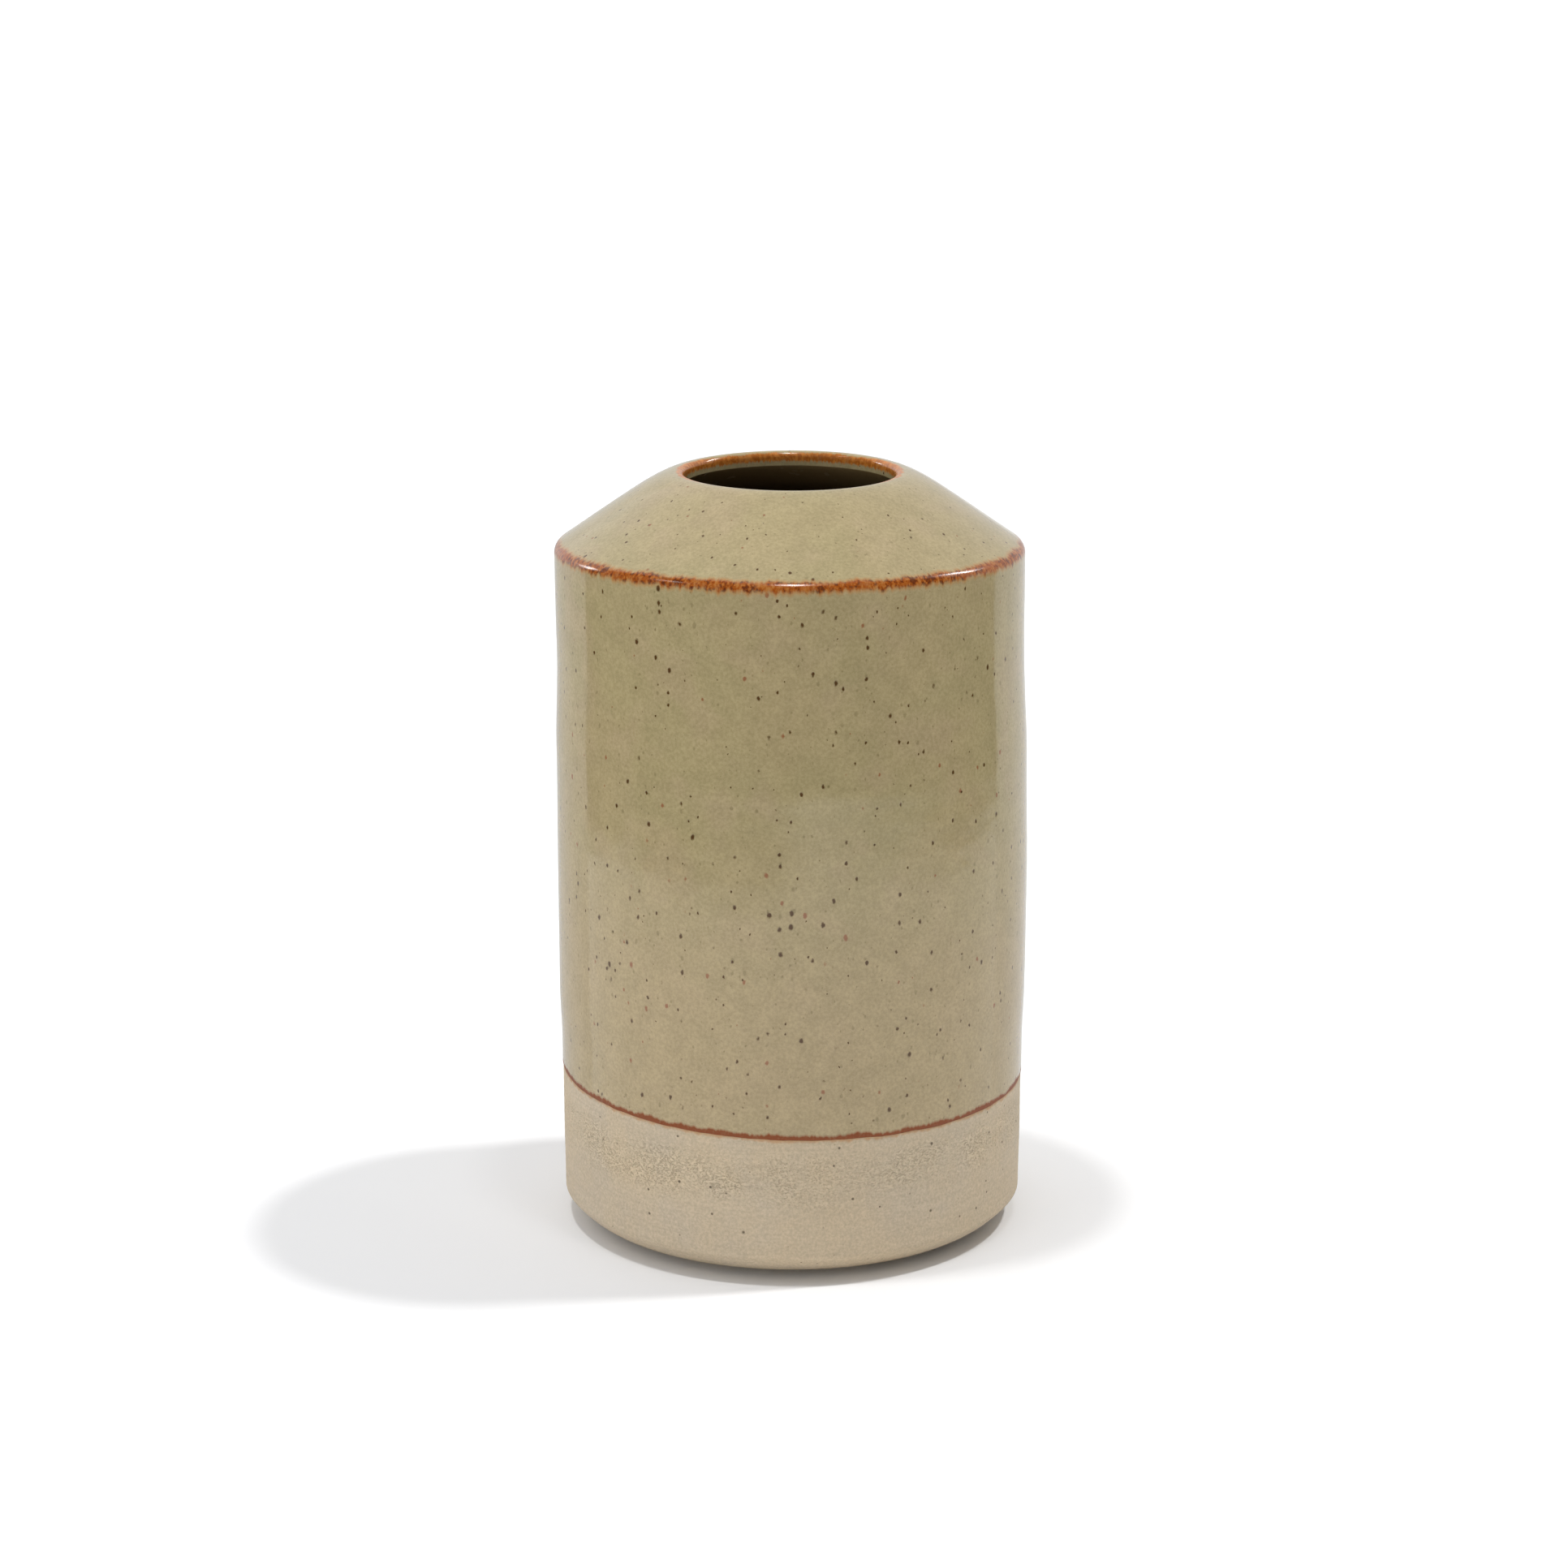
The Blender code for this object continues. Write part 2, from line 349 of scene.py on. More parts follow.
def make_clay():
    """The clay pot, at its full width and in full detail below the glaze line."""
    angles = columns_of(CLAY_COLUMNS)
    line = line_height(angles) - HAIRLINE
    inside = cavity_outline(SET_BACK)[::2]
    under_top = inset(top_outline(), SET_BACK)[::3]
    under = turned(np.concatenate([inside, under_top]), angles)
    start = under_top[-1, 1]
    hidden_heights = start + (line - start) * np.linspace(0, 1, 19)[1:, None]
    hidden = thrown(wall_radius(hidden_heights) - SET_BACK, hidden_heights, angles[None, :])
    steps = np.concatenate([[0], np.linspace(0.01, 1, 70)])[:, None]
    heights = line + (CHAMFER_HEIGHT - line) * steps
    bare_radius = wall_radius(heights) - CLAY_STEP - toolwork(heights, angles)
    bare = thrown(bare_radius, heights, angles[None, :])
    foot = chain(
        bend((wall_radius(CHAMFER_HEIGHT) - CLAY_STEP, CHAMFER_HEIGHT), CHAMFER_BULGE, HEEL, 16),
        bend(HEEL, UNDERCUT_BEND, FOOT_EDGE, 10),
        straight(FOOT_EDGE, (RECESS_RADIUS + RECESS_EDGE, 0.0), 6),
        bend((RECESS_RADIUS + RECESS_EDGE, 0.0), (RECESS_RADIUS + 0.6 * RECESS_EDGE, RECESS_DEPTH),
             (RECESS_RADIUS, RECESS_DEPTH), 6),
        straight((RECESS_RADIUS, RECESS_DEPTH), (1.5 * MM, RECESS_DEPTH), 60),
    )
    rings_in_recess = RECESS_RING_DEPTH * np.sin(foot[:, 0] / RECESS_RING_PITCH)
    foot[:, 1] += rings_in_recess * (foot[:, 0] < RECESS_RADIUS)
    under_foot = turned(foot[1:], angles)
    rings = np.concatenate([under, hidden, bare, under_foot])
    centres = ((0, 0, FLOOR_THICKNESS - SET_BACK), (0, 0, RECESS_DEPTH))
    piece = grid_mesh("clay_body", rings, False, centres)
    lowest = min(v.co.z for v in piece.data.vertices)
    for vertex in piece.data.vertices:
        vertex.co.z -= lowest * (1 - smoothstep(0, 2 * MM, vertex.co.z))
    above = np.full(rings.shape[:2], 9.0)
    first = len(under) + len(hidden)
    above[first:first + len(bare)] = (heights - line) / MM
    above[first + len(bare):] = -30.0
    mark(piece, "over_line", above)
    return piece


def toolwork(heights, angles):
    """How deep the trimming tool bit into the bare band: fine turning lines all over, and a
    torn, pitted belt where the clay was too dry."""
    belt = bell(heights, BELT_HEIGHT, BELT_SPREAD)
    depth = TURNING_DEPTH * (1 + np.sin(heights / TURNING_PITCH))
    torn = np.zeros(heights.shape)
    for i in range(heights.shape[0]):
        for j, around in enumerate(angles):
            if belt[i, j] > 0.05:
                x, y, z = math.sin(around) * 40, math.cos(around) * 40, heights[i, j] / MM * 2.0
                torn[i, j] = max(0.0, noise.noise(Vector((x, y, z))))
    return depth + TEAR_DEPTH * belt * torn


def make_liner():
    """The liner: a thin closed cup inside the pot."""
    angles = columns_of(LINER_COLUMNS)
    inside = cavity_outline(0.0)
    lip = inside[-1]
    rounded = bend(inside[-3], lip, lip + np.array((0.0, 0.35 * MM)), 5)
    front = chain(inside[:-2], rounded)
    back = cavity_outline(COAT)[::-3]
    rings = turned(np.concatenate([front, back]), angles)
    centres = ((0, 0, FLOOR_THICKNESS), (0, 0, FLOOR_THICKNESS - COAT))
    return grid_mesh("liner_coat", rings, False, centres)


# ---------------------------------------------------------------- shader nodes

class Surface:
    """One material and short ways to add nodes to it. Lengths are in millimetres."""

    def __init__(self, name):
        self.material = bpy.data.materials.new(name)
        self.material.use_nodes = True
        self.tree = self.material.node_tree
        self.shader = self.tree.nodes["Principled BSDF"]
        place = self.tree.nodes.new("ShaderNodeTexCoord").outputs["Object"]
        self.place = self.vector("SCALE", place, scale=1000.0)

    def put(self, socket, value):
        if isinstance(value, bpy.types.NodeSocket):
            self.tree.links.new(value, socket)
        else:
            socket.default_value = value

    def vector(self, operation, a, b=(0, 0, 0), scale=1.0):
        node = self.tree.nodes.new("ShaderNodeVectorMath")
        node.operation = operation
        self.put(node.inputs[0], a)
        if operation == "SCALE":
            node.inputs["Scale"].default_value = scale
        elif operation != "NORMALIZE":
            self.put(node.inputs[1], b)
        return node.outputs["Vector"]

    def math(self, operation, a, b=0.0):
        node = self.tree.nodes.new("ShaderNodeMath")
        node.operation = operation
        self.put(node.inputs[0], a)
        self.put(node.inputs[1], b)
        return node.outputs[0]

    def product(self, *factors):
        total = factors[0]
        for factor in factors[1:]:
            total = self.math("MULTIPLY", total, factor)
        return total

    def fade(self, value, start, end, low=0.0, high=1.0):
        """Goes smoothly from low to high as the value goes from start to end."""
        node = self.tree.nodes.new("ShaderNodeMapRange")
        node.interpolation_type = "SMOOTHSTEP"
        for socket, given in zip(node.inputs[:5], (value, start, end, low, high)):
            self.put(socket, given)
        return node.outputs["Result"]

    def noise(self, place, size, detail=2.0, rough=0.5):
        """Cloudy noise about 0..1 with blobs of the given size."""
        node = self.tree.nodes.new("ShaderNodeTexNoise")
        self.put(node.inputs["Vector"], place)
        node.inputs["Scale"].default_value = 1.0 / size
        node.inputs["Detail"].default_value = detail
        node.inputs["Roughness"].default_value = rough
        return node.outputs["Fac"]

    def cloud(self, place, size):
        """Three noises at once, to push places about."""
        node = self.tree.nodes.new("ShaderNodeTexNoise")
        self.put(node.inputs["Vector"], place)
        node.inputs["Scale"].default_value = 1.0 / size
        return node.outputs["Color"]

    def swing(self, place, size, amount, detail=1.0):
        """Noise that swings about zero by roughly the given amount."""
        return self.math("MULTIPLY", self.math("SUBTRACT", self.noise(place, size, detail), 0.5),
                         amount * 4.0)

    def dots(self, place, spacing, small, large, density=1.0):
        """Scattered round dots: one in each cell, its radius between small and large."""
        node = self.tree.nodes.new("ShaderNodeTexVoronoi")
        self.put(node.inputs["Vector"], place)
        node.inputs["Scale"].default_value = 1.0 / spacing
        split = self.tree.nodes.new("ShaderNodeSeparateColor")
        self.put(split.inputs[0], node.outputs["Color"])
        chance = self.math("POWER", split.outputs["Red"], 1.6)
        radius = self.fade(chance, 0.0, 1.0, small / spacing, large / spacing)
        radius = self.math("MULTIPLY", radius, density)
        return self.fade(self.math("DIVIDE", node.outputs["Distance"], radius), 1.0, 0.45)

    def mix(self, factor, a, b, blend="MIX"):
        node = self.tree.nodes.new("ShaderNodeMix")
        node.data_type = "RGBA"
        node.blend_type = blend
        self.put(node.inputs[0], factor)
        for socket, given in ((node.inputs[6], a), (node.inputs[7], b)):
            self.put(socket, (*given, 1) if isinstance(given, tuple) else given)
        return node.outputs[2]

    def axes(self, place):
        """The X, Y and Z of a place."""
        node = self.tree.nodes.new("ShaderNodeSeparateXYZ")
        self.put(node.inputs[0], place)
        return node.outputs["X"], node.outputs["Y"], node.outputs["Z"]

    def attribute(self, name):
        node = self.tree.nodes.new("ShaderNodeAttribute")
        node.attribute_name = name
        return node.outputs["Fac"]

    def around(self):
        """A place that changes only round the pot, for streaks that run up and down."""
        flat = self.vector("MULTIPLY", self.place, (1, 1, 0))
        return self.vector("SCALE", self.vector("NORMALIZE", flat), scale=46.0)

    def bump(self, height, depth, onto=None):
        """Relief of the given depth, in millimetres, on top of another relief."""
        node = self.tree.nodes.new("ShaderNodeBump")
        node.inputs["Distance"].default_value = depth * MM
        node.inputs["Strength"].default_value = 1.0
        self.put(node.inputs["Height"], height)
        if onto is not None:
            self.put(node.inputs["Normal"], onto)
        return node.outputs["Normal"]

    def finish(self, colour, roughness, normal):
        self.put(self.shader.inputs["Base Color"], colour)
        self.put(self.shader.inputs["Roughness"], roughness)
        self.put(self.shader.inputs["Normal"], normal)
        return self.material


# ---------------------------------------------------------------- glaze, liner and clay

SAGE = (0.384, 0.307, 0.162)
SAGE_PINK = (0.400, 0.310, 0.177)
SAGE_GREEN = (0.369, 0.302, 0.155)
SAGE_LOW = (0.409, 0.314, 0.174)
IRON = (0.060, 0.019, 0.001)
FAINT_IRON = (0.175, 0.135, 0.060)
RED_IRON = (0.250, 0.070, 0.030)
RUST_PALE = (0.450, 0.185, 0.040)
RUST = (0.310, 0.066, 0.001)
RUST_DARK = (0.100, 0.017, 0.001)
LIP_RUST = (0.590, 0.205, 0.030)
LINE_RUST = (0.225, 0.048, 0.001)
CLAY = (0.548, 0.446, 0.310)
CLAY_GREY = (0.532, 0.440, 0.320)
CLAY_WARM = (0.562, 0.450, 0.306)
CLAY_PIT = (0.270, 0.200, 0.120)
CLAY_SPECK = (0.095, 0.066, 0.040)
LINER = (0.075, 0.053, 0.024)
LINER_BROWN = (0.105, 0.062, 0.026)
LINER_TOP_SAGE_AND_PAINTED_LIGHT = (0.500, 0.345, 0.150)


def rust_band(s, distance, upper, lower, fray, softness):
    """Where an edge broke to rust: 1 inside a band along a distance, with streaky edges."""
    around = s.around()
    coarse = s.swing(around, 5.0, fray)
    fine = s.swing(around, 0.8, fray * 0.8)
    shared = s.math("ADD", coarse, fine)
    top = s.math("ADD", s.math("SUBTRACT", distance, upper), shared)
    drip = s.swing(s.vector("ADD", around, (31.0, 7.0, 3.0)), 1.1, fray * 1.3, 2.0)
    bottom = s.math("ADD", s.math("SUBTRACT", distance, lower), drip)
    return s.product(s.fade(top, softness, -softness), s.fade(bottom, -softness, softness))


def glaze_material():
    s = Surface("sage_glaze")
    place, around = s.place, s.around()
    over_line, from_edge, from_lip = (
        s.attribute(name) for name in ("over_line", "from_edge", "from_lip"))

    # the glaze itself: cloudy, pinker where it is thin, finely grained
    cloud = s.noise(place, 26.0, 3.0)
    colour = s.mix(s.fade(cloud, 0.38, 0.62), SAGE_GREEN, SAGE)
    colour = s.mix(s.fade(s.noise(place, 11.0, 2.0), 0.48, 0.70, 0.0, 0.6), colour, SAGE_PINK)
    y, z = s.axes(place)[1:]
    colour = s.mix(s.fade(z, 95.0, 50.0, 0.0, 0.75), colour, SAGE_LOW)
    grain = s.noise(place, 0.62, 3.0, 0.7)
    colour = s.mix(1.0, colour, s.mix(s.fade(grain, 0.30, 0.70), (0.88, 0.88, 0.86),
                                      (1.10, 1.10, 1.11)), "MULTIPLY")
    patch = s.fade(s.noise(place, 4.5, 2.0), 0.35, 0.65)
    colour = s.mix(1.0, colour, s.mix(patch, (0.95, 0.952, 0.94), (1.03, 1.03, 1.03)), "MULTIPLY")

    # iron specks, each bleeding a little downwards
    smeared = s.vector("MULTIPLY", place, (1.0, 1.0, 0.72))
    wander = s.vector("SUBTRACT", s.cloud(place, 0.7), (0.5, 0.5, 0.5))
    ragged = s.vector("ADD", smeared, s.vector("SCALE", wander, scale=0.45))
    sparse = s.product(s.fade(from_edge, 0.5, 4.0, 1.0, 0.84),
                       s.fade(s.noise(place, 18.0, 1.0), 0.38, 0.62, 0.84, 1.12))
    faint = s.dots(s.vector("ADD", ragged, (11.0, 4.0, 9.0)), 2.3, 0.18, 0.48, sparse)
    specks = s.dots(ragged, 2.05, 0.18, 0.50, sparse)
    tiny = s.dots(s.vector("ADD", ragged, (3.0, 17.0, 5.0)), 1.4, 0.07, 0.28, sparse)
    red = s.dots(s.vector("ADD", ragged, (23.0, 9.0, 1.0)), 3.7, 0.16, 0.56, sparse)
    colour = s.mix(s.product(faint, 0.45), colour, FAINT_IRON)
    colour = s.mix(s.product(tiny, 0.5), colour, FAINT_IRON)
    colour = s.mix(s.product(red, 0.75), colour, RED_IRON)
    colour = s.mix(s.product(specks, 0.92), colour, IRON)

    # rust where the glaze broke thin: shoulder edge, lip and the rolled lower edge
    blotch = s.noise(s.vector("MULTIPLY", place, (1.0, 1.0, 0.7)), 0.8, 2.0, 0.65)
    broken = s.fade(s.noise(place, 1.6, 2.0, 0.6), 0.30, 0.50, 0.88, 1.0)
    shoulder = rust_band(s, from_edge, 1.45, -0.95, 0.42, 0.75)
    outer_limit = s.math("ADD", s.fade(y, 4.0, 17.0, 0.35, -0.75), s.fade(y, -8.0, -18.0, 0.0, -0.9))
    lip = rust_band(s, from_lip, outer_limit, -2.5, 0.25, 0.35)
    either = s.math("MAXIMUM", shoulder, lip)
    rust = s.mix(s.product(s.fade(either, 0.35, 0.95), s.fade(blotch, 0.30, 0.52, 0.3, 1.0)),
                 RUST_PALE, RUST)
    burnt = s.product(s.fade(s.math("ADD", blotch, s.swing(place, 5.0, 0.08)), 0.48, 0.64),
                      s.fade(shoulder, 0.3, 0.8), 0.9)
    rust = s.mix(burnt, rust, RUST_DARK)
    rust = s.mix(s.product(s.fade(lip, 0.3, 0.8), s.fade(blotch, 0.35, 0.60, 1.0, 0.35)),
                 rust, LIP_RUST)
    colour = s.mix(s.product(either, broken, 0.98), colour, rust)
    line = rust_band(s, over_line, 0.95, -0.6, 0.34, 0.34)
    colour = s.mix(s.product(line, s.fade(blotch, 0.25, 0.5, 0.85, 1.0)), colour, LINE_RUST)

    melt = s.noise(place, 7.0, 2.0)
    roughness = s.fade(melt, 0.3, 0.7, 0.07, 0.13)
    roughness = s.math("ADD", roughness, s.product(either, 0.08))
    roughness = s.math("ADD", roughness, s.product(line, 0.45))
    peel = s.bump(s.noise(place, 3.2, 1.0), 0.022)
    peel = s.bump(s.noise(place, 0.8, 1.0), 0.0035, peel)
    peel = s.bump(s.product(specks, -1.0), 0.010, peel)
    return s.finish(colour, roughness, peel)


def liner_material():
    s = Surface("dark_liner")
    cloud = s.fade(s.noise(s.place, 9.0, 3.0), 0.35, 0.65)
    colour = s.mix(cloud, LINER, LINER_BROWN)
    colour = s.mix(s.product(s.dots(s.place, 3.0, 0.1, 0.5), 0.7), colour, IRON)
    z = s.axes(s.place)[2]
    top = HEIGHT / MM
    # the sage glaze reaching over the lip onto the liner's top, with painted light: brighter than
    # the sage and fading down into the dark inside
    colour = s.mix(s.fade(z, top - 11.0, top - 3.5), colour, LINER_TOP_SAGE_AND_PAINTED_LIGHT)
    roughness = s.fade(s.noise(s.place, 5.0, 2.0), 0.3, 0.7, 0.14, 0.28)
    s.shader.inputs["Specular IOR Level"].default_value = 0.25
    return s.finish(colour, roughness, s.bump(s.noise(s.place, 3.0, 1.0), 0.012))


def clay_material():
    s = Surface("bare_clay")
    place = s.place
    over_line = s.attribute("over_line")
    z = s.axes(place)[2]
    belt = s.product(s.fade(z, 13.5, 21.0), s.fade(z, 29.0, 23.0))
    patchy = s.fade(s.noise(place, 12.0, 2.0), 0.40, 0.60)
    worn = s.product(belt, s.fade(patchy, 0.0, 1.0, 0.45, 1.0))

    colour = s.mix(s.fade(s.noise(place, 15.0, 3.0), 0.36, 0.64), CLAY_GREY, CLAY_WARM)
    colour = s.mix(s.fade(s.noise(place, 5.0, 2.0), 0.35, 0.65, 0.0, 0.6), colour, CLAY)
    sand = s.noise(place, 0.55, 3.0, 0.7)
    colour = s.mix(1.0, colour, s.mix(s.fade(sand, 0.30, 0.70), (0.86, 0.86, 0.85),
                                      (1.10, 1.10, 1.10)), "MULTIPLY")
    turning = s.noise(s.vector("MULTIPLY", place, (0.06, 0.06, 1.0)), 0.7, 2.0, 0.6)
    colour = s.mix(1.0, colour, s.mix(s.fade(turning, 0.3, 0.7), (0.955, 0.955, 0.95),
                                      (1.02, 1.02, 1.02)), "MULTIPLY")
    pits = s.fade(s.noise(s.vector("MULTIPLY", place, (1.0, 1.0, 1.5)), 0.52, 2.0, 0.6), 0.50, 0.62)
    # the torn belt: scraped clay lighter and pits a little darker, with the scraped clay lightened
    # further as painted light against the shade of its bumps
    scraped_with_painted_light = s.mix(pits, (1.12, 1.115, 1.09), (0.96, 0.935, 0.89))
    colour = s.mix(worn, colour, s.mix(1.0, colour, scraped_with_painted_light, "MULTIPLY"))
    few = s.dots(place, 3.0, 0.14, 0.42)
    tiny = s.dots(s.vector("ADD", place, (5.0, 2.0, 8.0)), 2.2, 0.06, 0.26)
    colour = s.mix(s.product(tiny, 0.5), colour, CLAY_PIT)
    colour = s.mix(s.product(few, 0.85), colour, CLAY_SPECK)
    stain = s.fade(s.math("ADD", over_line, s.swing(s.around(), 1.5, 0.3)), -0.75, -0.05, 0.0, 0.55)
    colour = s.mix(stain, colour, RUST_PALE)

    roughness = s.fade(sand, 0.3, 0.7, 0.72, 0.88)
    relief = s.bump(s.noise(place, 0.6, 3.0, 0.7), 0.05)
    relief = s.bump(s.product(pits, worn, -1.0), 0.16, relief)
    relief = s.bump(turning, 0.03, relief)
    return s.finish(colour, roughness, relief)


# ---------------------------------------------------------------- studio

CAMERA_DISTANCE = 736.0 * MM
CAMERA_HEIGHT = 279.2 * MM
CAMERA_PITCH = math.radians(14.585)
CAMERA_LENS = 88.47
CAMERA_SHIFT = -0.00505
GLINT_DISTANCE = 1.6
MIRROR_EDGE = math.radians(118)  # beyond this the glaze mirrors the pale backdrop
MIRROR_FAR = 6.0
TABLE_END = 0.292                # the mirrored table ends this far from the wall,
TABLE_END_RIGHT = 0.036          # further off on the right
TABLE_END_MIDDLE = 0.045         # and nearer just left of the middle
TABLE_EDGE = 0.030               # width of its soft edge,
TABLE_EDGE_RIGHT = 0.014         # crisper on the right
TABLE_EDGE_MIDDLE = 0.110        # and softest in the middle
ROOM_GLOW = 0.05
BACKDROP_GLOW = {-1: 0.70, 1: 0.86}
CEILING_GLOW = 0.08
PALE_WALL_GLOW = 0.72
TENT_COLOUR = (0.975, 0.99, 1.025, 1)
FLOOR_WHITE = (0.86, 0.86, 0.86, 1)
FLOOR_DROP = 0.05 * MM           # keeps the floor clear of the foot's face

# Name, direction, strength and spread in degrees
SUNS = (
    ("key", (0.42, 0.073, 0.905), 1.30, 4.0),
    ("fill", (-0.165, -0.044, 0.985), 0.76, 4.0),
    ("top", (0.13, -0.16, 0.98), 0.22, 5.0),
    ("side", (-0.75, -0.62, 0.25), 0.20, 30.0),
)
# Name, azimuth from the front towards the right, elevation, width, height, all in degrees,
# and strength
GLINTS = (
    ("glint_front", 2.5, 72.0, 5.5, 15.0, 34.0),
    ("glint_right", 111.0, 38.0, 5.5, 16.0, 34.0),
    ("glint_left", -118.0, 18.5, 8.0, 10.0, 14.0),
    ("glint_faint", -73.0, 43.0, 9.0, 5.0, 9.0),
)


def add_camera():
    data = bpy.data.cameras.new("camera")
    data.lens = CAMERA_LENS
    data.sensor_width = 36.0
    data.shift_x = CAMERA_SHIFT
    data.clip_start = 0.01
    data.clip_end = 50.0
    camera = bpy.data.objects.new("camera", data)
    camera.location = (0.0, -CAMERA_DISTANCE, CAMERA_HEIGHT)
    camera.rotation_euler = (math.pi / 2 - CAMERA_PITCH, 0.0, 0.0)
    bpy.context.scene.collection.objects.link(camera)
    bpy.context.scene.camera = camera


def add_sun(name, towards, strength, spread):
    """A distant lamp in the given direction, which the glaze does not mirror."""
    data = bpy.data.lights.new(name, "SUN")
    data.energy = strength
    data.angle = math.radians(spread)
    lamp = bpy.data.objects.new(name, data)
    lamp.rotation_euler = Vector(towards).to_track_quat("Z", "Y").to_euler()
    lamp.visible_glossy = False
    bpy.context.scene.collection.objects.link(lamp)


def only_mirrored(card):
    """A studio card that is seen in the glaze and nowhere else."""
    card.visible_camera = False
    card.visible_diffuse = False
    card.visible_shadow = False
    card.visible_transmission = False
    card.visible_volume_scatter = False


def glowing(name, strength):
    """A material that gives off plain white light."""
    surface = bpy.data.materials.new(name)
    surface.use_nodes = True
    shader = surface.node_tree.nodes["Principled BSDF"]
    shader.inputs["Base Color"].default_value = (0, 0, 0, 1)
    shader.inputs["Specular IOR Level"].default_value = 0.0
    shader.inputs["Emission Color"].default_value = (1, 1, 1, 1)
    shader.inputs["Emission Strength"].default_value = strength
    return surface


def add_glint(name, azimuth, elevation, width, tall, strength):
    """A small bright card, seen from the shoulder at an azimuth and an elevation."""
    a, e = math.radians(azimuth), math.radians(elevation)
    towards = Vector((math.sin(a) * math.cos(e), -math.cos(a) * math.cos(e), math.sin(e)))
    bpy.ops.mesh.primitive_plane_add(size=1.0)
    card = bpy.context.object
    card.name = name
    card.location = towards * GLINT_DISTANCE + Vector((0, 0, SHOULDER_HEIGHT))
    card.rotation_euler = towards.to_track_quat("Z", "Y").to_euler()
    card.scale = (2 * GLINT_DISTANCE * math.tan(math.radians(width) / 2),
                  2 * GLINT_DISTANCE * math.tan(math.radians(tall) / 2), 1)
    card.data.materials.append(glowing(name, strength))
    only_mirrored(card)


def mirrored_card(name, angles, nearest, furthest, material):
    """A card just above the floor, laid out by where the wall of the pot mirrors it: by the
    direction of the mirrored view, and by its distance from the wall."""
    points = []
    for distances in (nearest, furthest):
        for angle, distance in zip(angles, distances):
            x = SHOULDER_RADIUS * math.sin(angle / 2) + distance * math.sin(angle)
            y = SHOULDER_RADIUS * math.cos(angle / 2) + distance * math.cos(angle)
            points.append((x, -y, 0.0005))
    count = len(angles)
    faces = [(j, j + 1, count + j + 1, count + j) for j in range(count - 1)]
    mesh = bpy.data.meshes.new(name)
    mesh.from_pydata(points, [], faces)
    card = bpy.data.objects.new(name, mesh)
    bpy.context.scene.collection.objects.link(card)
    card.data.materials.append(material)
    layer = mesh.attributes.new("reach", "FLOAT", "POINT")
    layer.data.foreach_set("value", [0.0] * count + [1.0] * count)
    only_mirrored(card)


def soft_edged(name, strength):
    """A glowing material that fades in over a card's reach."""
    surface = glowing(name, strength)
    tree = surface.node_tree
    reach = tree.nodes.new("ShaderNodeAttribute")
    reach.attribute_name = "reach"
    tree.links.new(reach.outputs["Fac"], tree.nodes["Principled BSDF"].inputs["Alpha"])
    return surface


def add_mirrored_room():
    """What the glaze mirrors: the table, the dark studio beyond it, and a pale backdrop."""
    angles = np.linspace(-MIRROR_EDGE, MIRROR_EDGE, 121)
    rightness = smoothstep(-0.25, 0.20, angles)
    centre = np.exp(-(angles / 0.9) ** 2)
    uneven = 0.010 * np.sin(3.1 * angles + 0.5) + 0.006 * np.sin(7.3 * angles)
    near = TABLE_END + TABLE_END_RIGHT * rightness
    near = near - TABLE_END_MIDDLE * centre * (1 - rightness) + uneven
    full = near + TABLE_EDGE - TABLE_EDGE_RIGHT * rightness + TABLE_EDGE_MIDDLE * centre
    far = np.full(angles.shape, MIRROR_FAR)
    mirrored_card("table_end", angles, near, full, soft_edged("table_end", ROOM_GLOW))
    mirrored_card("dark_room", angles, full, far, glowing("dark_room", ROOM_GLOW))
    for side in (-1, 1):
        behind = side * np.linspace(MIRROR_EDGE, math.pi, 31)
        mirrored_card(f"backdrop_{side + 1}", behind, behind * 0 + 0.02, behind * 0 + MIRROR_FAR,
                      glowing("backdrop", BACKDROP_GLOW[side]))


def mirrored_sky(name, turns, rises, material):
    """A patch of distant sky: from and to an azimuth, and from and to a height, in degrees."""
    turns = np.radians(np.linspace(*turns, 41))
    rises = np.radians(np.linspace(*rises, 13))
    points = [(MIRROR_FAR * math.sin(a) * math.cos(e), -MIRROR_FAR * math.cos(a) * math.cos(e),
               MIRROR_FAR * math.sin(e)) for e in rises for a in turns]
    faces = []
    for i in range(len(rises) - 1):
        for j in range(len(turns) - 1):
            a = i * len(turns) + j
            faces.append((a, a + 1, a + len(turns) + 1, a + len(turns)))
    mesh = bpy.data.meshes.new(name)
    mesh.from_pydata(points, [], faces)
    card = bpy.data.objects.new(name, mesh)
    bpy.context.scene.collection.objects.link(card)
    card.data.materials.append(material)
    only_mirrored(card)


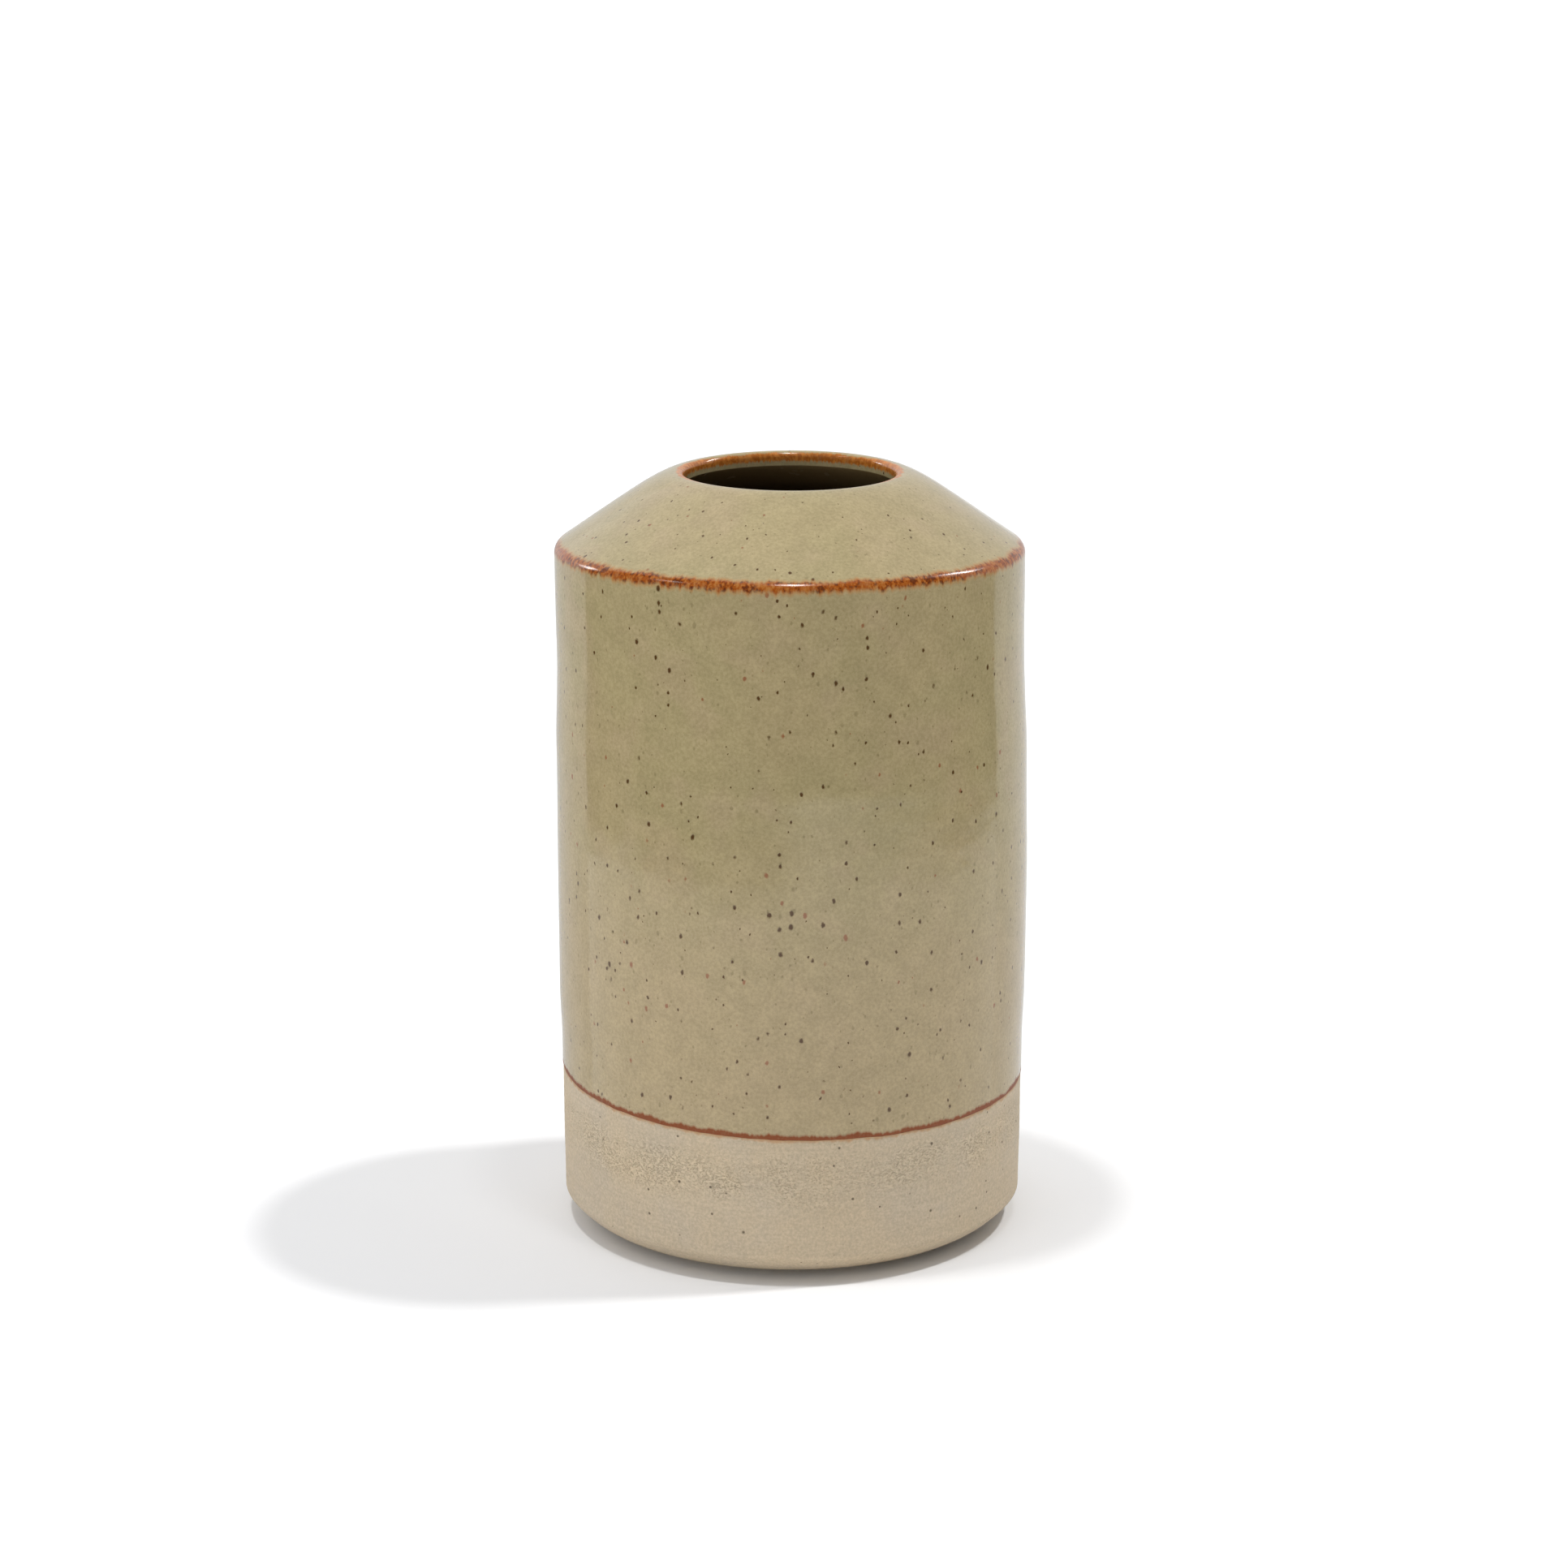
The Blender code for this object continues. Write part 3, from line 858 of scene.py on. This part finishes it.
def add_floor():
    bpy.ops.mesh.primitive_plane_add(size=30.0)
    floor = bpy.context.object
    floor.name = "floor"
    floor.location.z = -FLOOR_DROP
    surface = bpy.data.materials.new("floor_white")
    surface.use_nodes = True
    shader = surface.node_tree.nodes["Principled BSDF"]
    shader.inputs["Base Color"].default_value = FLOOR_WHITE
    shader.inputs["Roughness"].default_value = 0.9
    shader.inputs["Specular IOR Level"].default_value = 0.1
    floor.data.materials.append(surface)


def add_world(level, leftwards, backwards):
    """A pale tent round the pot, brighter to the left and behind."""
    world = bpy.data.worlds.new("tent")
    world.use_nodes = True
    bpy.context.scene.world = world
    tree = world.node_tree
    background = tree.nodes["Background"]
    background.inputs["Color"].default_value = TENT_COLOUR
    direction = tree.nodes.new("ShaderNodeTexCoord").outputs["Generated"]
    lean = tree.nodes.new("ShaderNodeVectorMath")
    lean.operation = "DOT_PRODUCT"
    tree.links.new(direction, lean.inputs[0])
    lean.inputs[1].default_value = (-leftwards, backwards, 0.0)
    total = tree.nodes.new("ShaderNodeMath")
    total.operation = "ADD"
    tree.links.new(lean.outputs["Value"], total.inputs[0])
    total.inputs[1].default_value = level
    dimmest = tree.nodes.new("ShaderNodeMath")
    dimmest.operation = "MAXIMUM"
    tree.links.new(total.outputs[0], dimmest.inputs[0])
    dimmest.inputs[1].default_value = 0.02
    tree.links.new(dimmest.outputs[0], background.inputs["Strength"])


add_camera()
bpy.context.scene.view_settings.view_transform = "Standard"
add_world(level=0.64, leftwards=0.36, backwards=0.10)
for sun in SUNS:
    add_sun(*sun)
for glint in GLINTS:
    add_glint(*glint)
add_mirrored_room()
mirrored_sky("dark_ceiling", (-118, 92), (0, 74), glowing("dark_ceiling", CEILING_GLOW))
mirrored_sky("pale_wall", (92, 200), (0, 64), glowing("pale_wall", PALE_WALL_GLOW))
add_floor()

clay = make_clay()
clay.data.materials.append(clay_material())
glaze = make_glaze()
glaze.data.materials.append(glaze_material())
liner = make_liner()
liner.data.materials.append(liner_material())
for piece, node, slot in ((clay, "stoneware_body", "bare_stoneware"),
                          (glaze, "outer_glaze", "sage_glaze"),
                          (liner, "inner_glaze", "liner_glaze")):
    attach(piece, "root")
    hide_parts(node)
